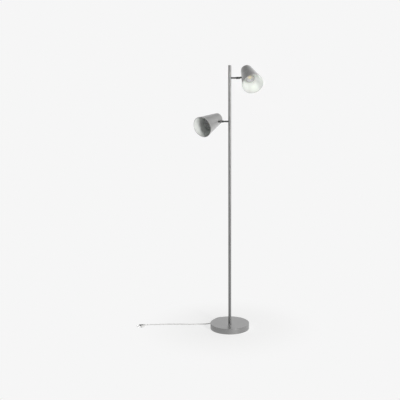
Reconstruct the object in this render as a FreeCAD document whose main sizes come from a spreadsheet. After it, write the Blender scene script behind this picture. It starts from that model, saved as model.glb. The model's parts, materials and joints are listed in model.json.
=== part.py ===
"""Floor reading lamp with two aimable spot heads, as a parametric document.

Origin: centre of the base on the floor. +Z is up, the upper arm points along +X and the
lower arm along -X, and the room side of the lamp is -Y. Millimetres and degrees.
"""
import FreeCAD, Part
import math
import os
import re

import Sketcher
from FreeCAD import Placement, Rotation, Vector

OUT_DIR = "parts"

# Driving dimensions: alias, value, what it is.
DIMENSIONS = (
    ("lamp_top", 1500.0, "height of the pole cap"),
    ("base_radius", 111.0, "base cover, outside"),
    ("base_top", 33.0, "top face of the base cover"),
    ("cover_wall", 1.2, "sheet of the base cover"),
    ("cover_lift", 1.5, "gap under the cover's skirt"),
    ("foot_height", 2.5, "soft feet under the bottom plate"),
    ("foot_radius", 9.0, "soft feet"),
    ("foot_circle", 92.0, "radius of the ring of feet"),
    ("plate_radius", 108.0, "bottom plate"),
    ("plate_thick", 1.5, "bottom plate"),
    ("weight_radius", 105.0, "cast weight"),
    ("weight_thick", 16.0, "cast weight"),
    ("boss_radius", 7.0, "bosses that carry the bottom plate"),
    ("boss_circle", 74.0, "radius of the ring of bosses"),
    ("nut_pocket_radius", 15.0, "counterbore for the stud's nut"),
    ("nut_pocket_depth", 8.0, "counterbore for the stud's nut"),
    ("stud_radius", 5.0, "hollow stud"),
    ("stud_bore", 3.6, "wire passage of the stud"),
    ("stud_low", 15.2, "lower end of the stud"),
    ("stud_high", 57.0, "upper end of the stud"),
    ("pole_radius", 8.0, "pole, outside"),
    ("pole_bore", 6.8, "pole, inside radius"),
    ("seam_low", 515.0, "joint of the lower and middle pole"),
    ("seam_high", 997.0, "joint of the middle and upper pole"),
    ("core_radius", 6.75, "sleeves and inserts inside the pole"),
    ("joiner_length", 50.0, "sleeve over a pole joint"),
    ("joiner_bore", 4.2, "wire passage of a joiner"),
    ("cap_thick", 3.0, "pole cap"),
    ("upper_arm_height", 1431.0, "axis of the upper arm"),
    ("lower_arm_height", 1193.5, "axis of the lower arm"),
    ("arm_radius", 4.5, "arm, outside"),
    ("arm_bore", 2.5, "wire passage of the arm"),
    ("arm_tenon_radius", 3.9, "arm's end inside the pole"),
    ("arm_tenon_start", 4.6, "arm's inner end, from the pole axis"),
    ("arm_shoulder", 33.7, "arm's outer shoulder, from the pole axis"),
    ("arm_tip", 41.5, "end of the arm's journal"),
    ("journal_radius", 3.2, "arm journal that the yoke turns on"),
    ("insert_height", 22.0, "threaded insert behind an arm"),
    ("pivot_reach", 50.0, "pole axis to tilt pivot"),
    ("yoke_radius", 6.0, "swivel yoke"),
    ("yoke_back", 16.0, "pivot to the yoke's back face"),
    ("yoke_slot", 4.3, "slot between the yoke's ears"),
    ("yoke_slot_depth", 6.4, "pivot to the bottom of the slot"),
    ("ear_radius", 5.8, "rounded ears of the yoke"),
    ("running_gap", 0.08, "radial clearance of the turning joints"),
    ("pivot_radius", 1.9, "pivot screw shank"),
    ("pivot_head_radius", 3.5, "pivot screw head"),
    ("pivot_head_thick", 1.8, "pivot screw head"),
    ("grub_radius", 1.25, "set screw of the swivel"),
    ("tongue_thick", 4.0, "tongue of the stem"),
    ("tongue_radius", 5.5, "tongue of the stem"),
    ("stem_gap", 14.5, "pivot to the shade's side wall"),
    ("collar_radius", 5.2, "collar of the stem"),
    ("collar_start", 8.6, "pivot to the collar"),
    ("stem_radius", 3.9, "threaded end of the stem"),
    ("stem_tip", 23.5, "pivot to the end of the stem"),
    ("stem_bore", 2.3, "wire passage of the stem"),
    ("shade_mouth", 58.0, "shade radius at the opening"),
    ("shade_back", 31.3, "shade radius at the rear"),
    ("shade_length", 148.0, "shade along its axis"),
    ("shade_wall", 1.2, "shade sheet"),
    ("shade_edge", 2.2, "rounding of the shade's rear edge"),
    ("stem_station", 52.0, "rear face to the stem, along the axis"),
    ("switch_neck", 5.0, "switch bushing"),
    ("switch_radius", 7.4, "switch body"),
    ("switch_deep", 19.0, "end of the switch body inside the shade"),
    ("neck_out", 3.6, "bushing outside the shade"),
    ("ring_radius", 7.8, "round nut of the switch"),
    ("ring_thick", 2.2, "round nut of the switch"),
    ("button_radius", 3.1, "push button"),
    ("button_out", 8.4, "button outside the shade"),
    ("button_travel", 2.5, "stroke of the button"),
    ("bracket_width", 18.0, "lampholder bracket"),
    ("bracket_sheet", 1.2, "lampholder bracket"),
    ("bracket_top", 26.2, "front face of the bracket"),
    ("bracket_leg", 17.2, "axis to the outside of the leg"),
    ("holder_length", 27.0, "lampholder, long side"),
    ("holder_width", 18.0, "lampholder, short side"),
    ("holder_front", 46.2, "front face of the lampholder"),
    ("lamp_back", 46.6, "rear face of the lamp"),
    ("lamp_radius", 25.0, "reflector lamp"),
    ("lamp_front", 93.0, "front rim of the lamp"),
    ("cord_radius", 2.5, "mains cord"),
    ("exit_azimuth", 58.5, "where the cord leaves the base, degrees"),
    ("exit_height", 10.3, "height of the cord exit"),
    ("relief_length", 23.0, "strain relief outside the cover"),
    ("hank_centre_x", -5.0, "middle of the tied hank"),
    ("hank_centre_y", 135.2, "middle of the tied hank"),
    ("hank_half_run", 38.5, "half of a straight run of the hank"),
    ("hank_outer", 26.2, "outermost run from the middle line"),
    ("hank_step", 2.9, "spiral step of each half loop"),
    ("hank_waist", 6.0, "drawn in at the tie"),
    ("hank_low", 3.5, "height of the lower layer"),
    ("hank_rise", 5.5, "lower to upper layer"),
    ("tie_width", 7.0, "band round the hank"),
    ("tie_thick", 0.9, "band round the hank"),
    ("plug_length", 35.0, "plug body"),
    ("plug_width", 34.0, "plug body across the pins"),
    ("plug_thick", 13.6, "plug body"),
    ("plug_height", 7.0, "axis of the plug above the floor"),
    ("pin_radius", 2.0, "plug pins"),
    ("pin_length", 19.0, "plug pins"),
    ("pin_spacing", 18.6, "plug pins"),
)

# Straight runs of the hank: in on the lower layer, up along the middle one, out on top.
RUNS = 9

# Stored pose of each head, in degrees: swivel about the arm, tilt at the pivot, turn on the stem.
POSES = {
    "upper": (19.62, -15.39, -80.2),
    "lower": (102.49, -27.01, -23.15),
}

NAME = re.compile(r"([a-z][a-z0-9_]*)")


def cells(formula):
    """Spell a formula of cell names for the expression engine."""
    return NAME.sub(r"Dimensions.\1", str(formula))


class Lamp:
    """The document, its sheet of dimensions and the sub-parts made so far."""

    def __init__(self):
        self.doc = FreeCAD.newDocument("ReadingLamp")
        self.sheet = self.doc.addObject("Spreadsheet::Sheet", "Dimensions")
        self.size = {}
        for row, (alias, value, note) in enumerate(DIMENSIONS, start=1):
            self.sheet.set("A%d" % row, note)
            self.sheet.set("B%d" % row, "%g" % value)
            self.sheet.setAlias("B%d" % row, alias)
            self.size[alias] = value
        self.doc.recompute()
        self.nodes = []
        self.count = 0

    # -- small tools ---------------------------------------------------------------------

    def value(self, formula):
        """Work a formula out from the sheet."""
        return float(self.sheet.evalExpression(cells(formula)))

    def fresh(self, stem):
        """Make an internal name that no other object has."""
        self.count += 1
        return "%s_%03d" % (stem, self.count)

    def bind(self, item, **sizes):
        """Bind properties of an object to formulas of the sheet."""
        for name, formula in sizes.items():
            item.setExpression(name.replace("__", "."), cells(formula))
        return item

    def place(self, item, at, turn=None):
        """Place an object, its position bound to the sheet."""
        item.Placement = Placement(Vector(), turn or Rotation())
        for axis, formula in zip("xyz", at):
            if str(formula) != "0":
                item.setExpression("Placement.Base.%s" % axis, cells(formula))
        return item

    def node(self, item, label, placement=None):
        """Register a finished sub-part under its node name."""
        item.Label = label
        if placement is not None:
            item.Placement = placement
        self.nodes.append(item)
        return item

    # -- primitives and booleans -----------------------------------------------------------

    def cylinder(self, radius, height, at=("0", "0", "0"), turn=None):
        """Round bar along its own Z."""
        item = self.doc.addObject("Part::Cylinder", self.fresh("Bar"))
        self.bind(item, Radius=radius, Height=height)
        return self.place(item, at, turn)

    def cone(self, low, high, height, at=("0", "0", "0"), turn=None):
        """Round taper along its own Z."""
        item = self.doc.addObject("Part::Cone", self.fresh("Taper"))
        self.bind(item, Radius1=low, Radius2=high, Height=height)
        return self.place(item, at, turn)

    def box(self, length, width, height, at=("0", "0", "0"), turn=None):
        """Block from its low corner."""
        item = self.doc.addObject("Part::Box", self.fresh("Block"))
        self.bind(item, Length=length, Width=width, Height=height)
        return self.place(item, at, turn)

    def torus(self, major, minor, at=("0", "0", "0"), turn=None):
        """Ring about its own Z."""
        item = self.doc.addObject("Part::Torus", self.fresh("Ring"))
        self.bind(item, Radius1=major, Radius2=minor)
        return self.place(item, at, turn)

    def cut(self, base, *tools):
        """Take one or more shapes from another."""
        for tool in tools:
            item = self.doc.addObject("Part::Cut", self.fresh("Cut"))
            item.Base = base
            item.Tool = tool
            base = item
        return base

    def fuse(self, *shapes):
        """Join touching shapes into one solid."""
        item = self.doc.addObject("Part::MultiFuse", self.fresh("Join"))
        item.Shapes = list(shapes)
        item.Refine = True
        return item

    def common(self, *shapes):
        """Keep what all the shapes share."""
        item = self.doc.addObject("Part::MultiCommon", self.fresh("Shared"))
        item.Shapes = list(shapes)
        return item

    def group(self, *shapes):
        """Keep separate solids together as one node."""
        item = self.doc.addObject("Part::Compound", self.fresh("Set"))
        item.Links = list(shapes)
        return item

    # -- sketched bodies -----------------------------------------------------------------

    def body(self):
        """Start a body."""
        return self.doc.addObject("PartDesign::Body", self.fresh("Body"))

    def outline(self, body, corners, role="XZ_Plane"):
        """Draw a closed outline whose corners are bound to the sheet."""
        sketch = body.newObject("Sketcher::SketchObject", self.fresh("Outline"))
        plane = [part for part in body.Origin.OriginFeatures if part.Role == role][0]
        sketch.AttachmentSupport = [(plane, "")]
        sketch.MapMode = "FlatFace"
        points = [Vector(self.value(x), self.value(y), 0) for x, y in corners]
        total = len(points)
        for index, point in enumerate(points):
            sketch.addGeometry(Part.LineSegment(point, points[(index + 1) % total]), False)
        for index in range(total):
            link = Sketcher.Constraint("Coincident", index, 2, (index + 1) % total, 1)
            sketch.addConstraint(link)
        for index, corner in enumerate(corners):
            for kind, formula, line in (("DistanceX", corner[0], -2), ("DistanceY", corner[1], -1)):
                if abs(self.value(formula)) < 1e-9:
                    sketch.addConstraint(Sketcher.Constraint("PointOnObject", index, 1, line))
                    continue
                rule = Sketcher.Constraint(kind, -1, 1, index, 1, self.value(formula))
                number = sketch.addConstraint(rule)
                sketch.setExpression("Constraints[%d]" % number, cells(formula))
        return sketch

    def revolved(self, corners):
        """Turn an outline of radius and height about Z."""
        body = self.body()
        sketch = self.outline(body, corners)
        turned = body.newObject("PartDesign::Revolution", self.fresh("Turned"))
        turned.Profile = sketch
        turned.ReferenceAxis = (sketch, ["V_Axis"])
        turned.Angle = 360.0
        sketch.Visibility = False
        self.doc.recompute()
        return body

    def padded(self, corners, length, role="XY_Plane", both=False):
        """Give an outline a thickness."""
        body = self.body()
        sketch = self.outline(body, corners, role)
        pad = body.newObject("PartDesign::Pad", self.fresh("Pad"))
        pad.Profile = sketch
        pad.setExpression("Length", cells(length))
        pad.Midplane = both
        sketch.Visibility = False
        self.doc.recompute()
        return body

    def round_edges(self, body, radius, chosen):
        """Round the edges of a body that a test picks."""
        tip = body.Tip
        names = [
            "Edge%d" % (number + 1)
            for number, edge in enumerate(tip.Shape.Edges)
            if chosen(edge)
        ]
        fillet = body.newObject("PartDesign::Fillet", self.fresh("Rounded"))
        fillet.Base = (tip, names)
        fillet.setExpression("Radius", cells(radius))
        self.doc.recompute()
        return body

    def hexagon(self, half, length, bore, at):
        """Hexagon nut with its bore along Z."""
        body = self.body()
        sketch = body.newObject("Sketcher::SketchObject", self.fresh("Hexagon"))
        plane = [part for part in body.Origin.OriginFeatures if part.Role == "XY_Plane"][0]
        sketch.AttachmentSupport = [(plane, "")]
        sketch.MapMode = "FlatFace"
        reach = self.value(half) / math.cos(math.radians(30))
        corners = [
            Vector(reach * math.cos(math.radians(60 * k)), reach * math.sin(math.radians(60 * k)), 0)
            for k in range(6)
        ]
        for index in range(6):
            sketch.addGeometry(Part.LineSegment(corners[index], corners[(index + 1) % 6]), False)
        for index in range(6):
            follower = (index + 1) % 6
            sketch.addConstraint(Sketcher.Constraint("Coincident", index, 2, follower, 1))
        for index in range(1, 6):
            sketch.addConstraint(Sketcher.Constraint("Equal", 0, index))
        sketch.addGeometry(Part.Circle(Vector(), Vector(0, 0, 1), reach), True)
        for index in range(6):
            sketch.addConstraint(Sketcher.Constraint("PointOnObject", index, 1, 6))
        sketch.addConstraint(Sketcher.Constraint("Coincident", 6, 3, -1, 1))
        sketch.addConstraint(Sketcher.Constraint("PointOnObject", 0, 1, -1))
        rule = Sketcher.Constraint("Radius", 6, reach)
        number = sketch.addConstraint(rule)
        sketch.setExpression("Constraints[%d]" % number, "(%s) / cos(30 deg)" % cells(half))
        number = sketch.addGeometry(Part.Circle(Vector(), Vector(0, 0, 1), self.value(bore)), False)
        sketch.addConstraint(Sketcher.Constraint("Coincident", number, 3, -1, 1))
        rule = Sketcher.Constraint("Radius", number, self.value(bore))
        number = sketch.addConstraint(rule)
        sketch.setExpression("Constraints[%d]" % number, cells(bore))
        pad = body.newObject("PartDesign::Pad", self.fresh("Pad"))
        pad.Profile = sketch
        pad.setExpression("Length", cells(length))
        sketch.Visibility = False
        self.doc.recompute()
        return self.place(body, at)

    def shaped(self, shape, label, placement=None):
        """Keep a shape that no feature makes, such as a cord's tube."""
        item = self.doc.addObject("Part::Feature", self.fresh("Shaped"))
        item.Shape = shape
        return self.node(item, label, placement or Placement())


# Turns that lay a bar's Z along another axis.
ALONG_X = Rotation(Vector(0, 1, 0), 90)
ALONG_Y = Rotation(Vector(1, 0, 0), -90)


def arm_frame(lamp, side):
    """Frame of an arm: origin on the pole's axis, X out along the arm."""
    height = lamp.value("%s_arm_height" % side)
    turn = Rotation(Vector(0, 0, 1), 0 if side == "upper" else 180)
    return Placement(Vector(0, 0, height), turn)


def head_frames(lamp, side):
    """Frames of the yoke, the stem and the shade in the stored pose."""
    swivel, tilt, turn = POSES[side]
    reach = Placement(Vector(lamp.value("pivot_reach"), 0, 0), Rotation())
    yoke = arm_frame(lamp, side) * reach
    yoke = yoke * Placement(Vector(), Rotation(Vector(1, 0, 0), swivel))
    stem = yoke * Placement(Vector(), Rotation(Vector(0, 1, 0), tilt))
    turned = stem * Placement(Vector(), Rotation(Vector(1, 0, 0), turn))
    lean = shade_lean(lamp)
    station = lamp.value("stem_station")
    back = lamp.value("shade_back")
    radius = back + (lamp.value("shade_mouth") - back) * station / lamp.value("shade_length")
    side_way = Vector(-math.cos(lean), 0, -math.sin(lean))
    axis = Vector(math.sin(lean), 0, -math.cos(lean))
    rear = Vector(lamp.value("stem_gap"), 0, 0) - axis * station - side_way * radius
    shade = turned * Placement(rear, Rotation(Vector(0, 1, 0), 180 - math.degrees(lean)))
    return yoke, stem, shade


def shade_lean(lamp):
    """Half of the shade's cone angle, in radians."""
    widening = lamp.value("shade_mouth - shade_back")
    return math.atan2(widening, lamp.value("shade_length"))


# -- cords ---------------------------------------------------------------------------------


def smooth_route(points, label):
    """Straight runs joined by tangent arcs, as large as the runs allow."""
    edges = []
    radii = []
    last = points[0]
    for index in range(1, len(points) - 1):
        before, corner, after = points[index - 1:index + 2]
        inward = (corner - before).normalize()
        outward = (after - corner).normalize()
        turn = inward.getAngle(outward)
        trim = 0.45 * min((corner - before).Length, (after - corner).Length)
        radius = trim / math.tan(turn / 2)
        start = corner - inward * trim
        end = corner + outward * trim
        bisector = (outward - inward).normalize()
        middle = corner + bisector * (radius / math.cos(turn / 2) - radius)
        edges.append(Part.LineSegment(last, start).toShape())
        edges.append(Part.Arc(start, middle, end).toShape())
        radii.append(radius)
        last = end
    edges.append(Part.LineSegment(last, points[-1]).toShape())
    print("%s radii mm: %s" % (label, " ".join("%.0f" % radius for radius in radii)))
    return Part.Wire(edges)


def tube(wire, radius):
    """Round tube along a wire, as one solid."""
    first = wire.OrderedEdges[0]
    start = first.valueAt(first.FirstParameter)
    along = first.tangentAt(first.FirstParameter)
    ring = Part.Wire([Part.Circle(start, along, radius).toShape()])
    shell = Part.BRepOffsetAPI.MakePipeShell(wire)
    shell.add(ring)
    shell.build()
    shell.makeSolid()
    solid = shell.shape()
    expected = math.pi * radius ** 2 * wire.Length
    if abs(solid.Volume - expected) > 0.02 * expected:
        raise ValueError("tube volume %.0f, expected %.0f" % (solid.Volume, expected))
    return solid


def s_curve(start, end):
    """Two equal arcs between points whose tangents both lie along X."""
    along = Vector(1 if end.x > start.x else -1, 0, 0)
    length = abs(end.x - start.x)
    aside = Vector(0, end.y - start.y, end.z - start.z)
    offset = aside.Length
    aside.normalize()
    radius = (length ** 2 + offset ** 2) / (4 * offset)
    half = math.asin(length / 2 / radius)
    centre_a = start + aside * radius
    middle_a = centre_a - aside * (radius * math.cos(half / 2))
    middle_a = middle_a + along * (radius * math.sin(half / 2))
    join = (start + end) * 0.5
    centre_b = end - aside * radius
    middle_b = centre_b + aside * (radius * math.cos(half / 2))
    middle_b = middle_b - along * (radius * math.sin(half / 2))
    return [
        Part.Arc(start, middle_a, join).toShape(),
        Part.Arc(join, middle_b, end).toShape(),
    ]


def half_turn(start, end):
    """Two quarter arcs round the end of the hank."""
    radius = abs(end.y - start.y) / 2
    outward = Vector(1 if start.x > 0 else -1, 0, 0)
    centre = (start + end) * 0.5
    crown = centre + outward * radius
    edges = []
    for low, high in ((start, crown), (crown, end)):
        bulge = ((low - centre) + (high - centre)).normalize() * radius
        edges.append(Part.Arc(low, centre + bulge, high).toShape())
    return edges


def hank_wire(lamp):
    """Loops that spiral in on the floor, climb along one run and spiral out on top."""
    half = lamp.value("hank_half_run")
    middle = Vector(lamp.value("hank_centre_x"), lamp.value("hank_centre_y"), 0)
    outer = lamp.value("hank_outer")
    step = lamp.value("hank_step")
    waist = lamp.value("hank_waist")
    low = lamp.value("hank_low")
    high = low + lamp.value("hank_rise")
    edges = []
    last = None
    for number in range(RUNS):
        climb = RUNS // 2
        width = outer - step * (climb - abs(number - climb))
        sign = 1 if number % 2 == 0 else -1
        way = -sign
        level_a = low if number <= climb else high
        level_b = low if number < climb else high
        start = middle + Vector(-way * half, sign * width, level_a)
        centre = middle + Vector(0, sign * (width - waist), (level_a + level_b) / 2)
        end = middle + Vector(way * half, sign * width, level_b)
        if last is not None:
            edges += half_turn(last, start)
        edges += s_curve(start, centre)
        edges += s_curve(centre, end)
        last = end
    return Part.Wire(edges)


def least_gap(wire, diameter):
    """Least distance between passes of a tube, measured on points along its line."""
    count = int(wire.Length / 2)
    points = wire.discretize(Number=count)
    spacing = wire.Length / (count - 1)
    skip = int(3.2 * diameter / spacing)
    least = 1e9
    for index in range(count):
        here = points[index]
        for other in range(index + skip, count):
            least = min(least, here.distanceToPoint(points[other]))
    return least - diameter


def plug_frame(lamp):
    """Frame of the plug: origin where the cord enters, X towards the pins."""
    heading = Vector(-49.5, -23.9, 0)
    turn = Rotation(Vector(1, 0, 0), heading)
    return Placement(Vector(-484.4, 31.1, lamp.value("plug_height")), turn)


def exit_point(lamp, radius):
    """Point on the cord's exit line at a distance from the pole's axis."""
    angle = math.radians(lamp.value("exit_azimuth"))
    height = lamp.value("exit_height")
    return Vector(radius * math.cos(angle), radius * math.sin(angle), height)


def cord_routes(lamp):
    """Corner points of the two free stretches outside the hank."""
    far_y = lamp.value("hank_centre_y + hank_outer")
    start_x = lamp.value("hank_centre_x + hank_half_run")
    end_x = lamp.value("hank_centre_x - hank_half_run")
    low = lamp.value("hank_low")
    high = low + lamp.value("hank_rise")
    floor = lamp.value("cord_radius")
    lead = [
        exit_point(lamp, lamp.value("base_radius + relief_length")),
        exit_point(lamp, lamp.value("base_radius + relief_length") + 15.5),
        Vector(79.0, 141.6, 6.8),
        Vector(70.4, 155.0, 4.6),
        Vector(54.0, far_y, low),
        Vector(start_x, far_y, low),
    ]
    entry = plug_frame(lamp)
    run = [
        Vector(end_x, far_y, high),
        Vector(end_x - 16, far_y, high),
        Vector(-79.0, 151.2, 7.2),
        Vector(-92.0, 134.8, 4.6),
        Vector(-99.0, 116.0, 3.0),
        Vector(-102.6, 96.0, floor),
        Vector(-110.0, 78.6, floor),
        Vector(-124.0, 66.4, floor),
        Vector(-146.0, 62.2, floor),
        Vector(-184.0, 59.8, floor),
        Vector(-232.0, 57.8, floor),
        Vector(-294.0, 59.6, floor),
        Vector(-352.0, 60.0, floor),
        Vector(-404.0, 56.0, floor),
        Vector(-443.0, 48.4, 3.6),
        entry.multVec(Vector(-20, 0, 0)),
        entry.Base,
    ]
    return lead, run


# -- the stand -----------------------------------------------------------------------------


def build_base(lamp):
    """Cover, weight, bottom plate, feet and what holds them."""
    cover = lamp.revolved((
        ("stud_radius + 0.3", "base_top - cover_wall"),
        ("base_radius - cover_wall", "base_top - cover_wall"),
        ("base_radius - cover_wall", "cover_lift"),
        ("base_radius", "cover_lift"),
        ("base_radius", "base_top"),
        ("stud_radius + 0.3", "base_top"),
    ))
    rim = lamp.value("base_radius")
    top = lamp.value("base_top")

    def on_rim(edge):
        box = edge.BoundBox
        return abs(box.ZMin - top) < 0.01 and abs(box.XMax - rim) < 0.01

    lamp.round_edges(cover, "cover_wall * 0.75", on_rim)
    way = Rotation(Vector(0, 0, 1), lamp.value("exit_azimuth")) * ALONG_X
    start = exit_point(lamp, 100.0)
    hole = lamp.cylinder("cord_radius * 1.9", "20", turn=way)
    hole.Placement = Placement(start, way)
    lamp.node(lamp.cut(cover, hole), "base_cover")

    low = "base_top - cover_wall - 0.3 - weight_thick"
    weight = lamp.revolved((
        ("stud_radius + 0.2", low + " + nut_pocket_depth"),
        ("nut_pocket_radius", low + " + nut_pocket_depth"),
        ("nut_pocket_radius", low),
        ("weight_radius - 3", low),
        ("weight_radius", low + " + 3"),
        ("weight_radius", "base_top - cover_wall - 2.3"),
        ("weight_radius - 2", "base_top - cover_wall - 0.3"),
        ("stud_radius + 0.2", "base_top - cover_wall - 0.3"),
    ))
    bosses = []
    threads = []
    ring = lamp.value("boss_circle")
    for number in range(3):
        angle = math.radians(120 * number + 90)
        spot = (ring * math.cos(angle), ring * math.sin(angle))
        at = ("%.3f" % spot[0], "%.3f" % spot[1], "foot_height + plate_thick")
        height = low + " - foot_height - plate_thick + 1"
        bosses.append(lamp.cylinder("boss_radius", height, at))
        threads.append(lamp.cylinder("1.7", "12", at))
    lamp.node(lamp.cut(lamp.fuse(weight, *bosses), *threads), "base_weight")

    plate = lamp.cylinder("plate_radius", "plate_thick", ("0", "0", "foot_height"))
    holes = []
    screws = []
    for number in range(3):
        angle = math.radians(120 * number + 90)
        spot = (ring * math.cos(angle), ring * math.sin(angle))
        x, y = "%.3f" % spot[0], "%.3f" % spot[1]
        holes.append(lamp.cylinder("2.2", "4", (x, y, "1")))
        head = lamp.cone("2.4", "3.8", "1.4", (x, y, "foot_height - 1.4"))
        shank = lamp.cylinder("1.65", "11", (x, y, "foot_height - 0.2"))
        slot = lamp.box("6", "0.8", "0.7", ("%.3f - 3" % spot[0], "%.3f - 0.4" % spot[1], "1.1"))
        screws.append(lamp.cut(lamp.fuse(head, shank), slot))
    lamp.node(lamp.cut(plate, *holes), "base_plate")
    lamp.node(lamp.group(*screws), "plate_screws")

    feet = [lamp.cylinder("foot_radius", "foot_height")]
    for number in range(4):
        angle = math.radians(90 * number + 45)
        spot = lamp.value("foot_circle")
        at = ("%.3f" % (spot * math.cos(angle)), "%.3f" % (spot * math.sin(angle)), "0")
        feet.append(lamp.cylinder("foot_radius", "foot_height", at))
    lamp.node(lamp.group(*feet), "base_feet")

    stud = lamp.cylinder("stud_radius", "stud_high - stud_low", ("0", "0", "stud_low"))
    bore = lamp.cylinder("stud_bore", "stud_high - stud_low + 2", ("0", "0", "stud_low - 1"))
    lamp.node(lamp.cut(stud, bore), "base_stud")
    nut = lamp.hexagon("8.5", "nut_pocket_depth - 1.6", "stud_radius",
                       ("0", "0", low + " + 1.6"))
    lamp.node(nut, "base_nut")


def build_pole(lamp):
    """Three tubes, their sleeves, the cap and the wires inside."""
    spans = (
        ("pole_lower", "base_top", "seam_low"),
        ("pole_middle", "seam_low", "seam_high"),
        ("pole_upper", "seam_high", "lamp_top - cap_thick"),
    )
    for label, low, high in spans:
        body = lamp.revolved((
            ("pole_bore", low),
            ("pole_radius - 0.25", low),
            ("pole_radius", low + " + 0.25"),
            ("pole_radius", high + " - 0.25"),
            ("pole_radius - 0.25", high),
            ("pole_bore", high),
        ))
        if label != "pole_upper":
            lamp.node(body, label)
            continue
        up = lamp.cylinder("arm_tenon_radius + 0.05", "12", ("0", "0", "upper_arm_height"), ALONG_X)
        down = lamp.cylinder(
            "arm_tenon_radius + 0.05", "12", ("-12", "0", "lower_arm_height"), ALONG_X)
        lamp.node(lamp.cut(body, up, down), label)

    sleeve = lamp.cylinder("core_radius", "26", ("0", "0", "base_top + 0.2"))
    thread = lamp.cylinder("stud_radius", "28", ("0", "0", "base_top - 1"))
    lamp.node(lamp.cut(sleeve, thread), "pole_sleeve")
    joiners = []
    for seam in ("seam_low", "seam_high"):
        bar = lamp.cylinder("core_radius", "joiner_length", ("0", "0", seam + " - joiner_length / 2"))
        bore = lamp.cylinder(
            "joiner_bore", "joiner_length + 2", ("0", "0", seam + " - joiner_length / 2 - 1"))
        joiners.append(lamp.cut(bar, bore))
    lamp.node(lamp.group(*joiners), "pole_joiners")
    cap = lamp.revolved((
        ("0", "lamp_top - cap_thick - 9"),
        ("core_radius - 0.6", "lamp_top - cap_thick - 9"),
        ("core_radius", "lamp_top - cap_thick - 8.4"),
        ("core_radius", "lamp_top - cap_thick"),
        ("pole_radius", "lamp_top - cap_thick"),
        ("pole_radius", "lamp_top - 0.8"),
        ("pole_radius - 0.8", "lamp_top"),
        ("0", "lamp_top"),
    ))
    lamp.node(cap, "pole_cap")

    wires = []
    reach = lamp.value("arm_tip")
    side_x = 2.0
    bend = 5.0
    block = terminal_frame(lamp)
    for side, sign in (("upper", 1), ("lower", -1)):
        height = lamp.value("%s_arm_height" % side)
        drop = lamp.value("exit_height")
        outward = block.Rotation.multVec(Vector(1, 0, 0))
        foot = Vector(sign * side_x, 0, drop)
        run = 21.95 - outward.x * foot.x
        start = foot + outward * run
        low_arc = bent(start - foot, Vector(0, 0, 1), foot, bend)
        top = Vector(sign * side_x, 0, height)
        high_arc = bent(Vector(0, 0, -1), Vector(sign, 0, 0), top, bend)
        end = Vector(sign * reach, 0, height)
        edges = [
            Part.LineSegment(start, low_arc[0]).toShape(),
            Part.Arc(*low_arc).toShape(),
            Part.LineSegment(low_arc[2], high_arc[0]).toShape(),
            Part.Arc(*high_arc).toShape(),
            Part.LineSegment(high_arc[2], end).toShape(),
        ]
        wires.append(tube(Part.Wire(edges), 1.4))
    lamp.shaped(Part.makeCompound(wires), "pole_wiring")


def bent(first, second, corner, radius):
    """Start, middle and end of an arc that joins two directions seen from a corner."""
    first = Vector(first).normalize()
    second = Vector(second).normalize()
    inside = first.getAngle(second)
    trim = radius / math.tan(inside / 2)
    bisector = (first + second).normalize()
    middle = corner + bisector * (radius / math.sin(inside / 2) - radius)
    return corner + first * trim, middle, corner + second * trim


def terminal_frame(lamp):
    """Frame of the terminal block: X outwards along the cord's exit line."""
    turn = Rotation(Vector(0, 0, 1), lamp.value("exit_azimuth"))
    return Placement(turn.multVec(Vector(22, 0, 0)), turn)


def build_cord_entry(lamp):
    """Terminal block, inner tail and strain relief."""
    block = lamp.box("22", "20", "10.2", ("0", "-10", "foot_height + plate_thick + 0.2"))
    slots = []
    for offset in ("-6", "0", "6"):
        at = ("6", offset, "10")
        slots.append(lamp.cylinder("1.6", "9", at))
        slots.append(lamp.cylinder("1.6", "9", ("16", offset, "10")))
    lamp.node(lamp.cut(block, *slots), "terminal_block", terminal_frame(lamp))

    inside = exit_point(lamp, 44.2)
    outside = exit_point(lamp, lamp.value("base_radius + relief_length"))
    wire = Part.Wire([Part.LineSegment(inside, outside).toShape()])
    lamp.shaped(tube(wire, lamp.value("cord_radius")), "cord_tail")

    relief = lamp.revolved((
        ("cord_radius", "-4"),
        ("cord_radius * 2.2", "-4"),
        ("cord_radius * 2.4", "-1.9"),
        ("cord_radius * 1.85", "-1.9"),
        ("cord_radius * 1.85", "0.2"),
        ("cord_radius * 2.4", "0.2"),
        ("cord_radius * 2.4", "2"),
        ("cord_radius * 2", "3"),
        ("cord_radius * 1.25", "relief_length - 0.6"),
        ("cord_radius * 1.05", "relief_length"),
        ("cord_radius", "relief_length"),
    ))
    turn = Rotation(Vector(0, 0, 1), lamp.value("exit_azimuth")) * ALONG_X
    start = exit_point(lamp, lamp.value("base_radius"))
    lamp.node(relief, "cord_grommet", Placement(start, turn))


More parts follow.
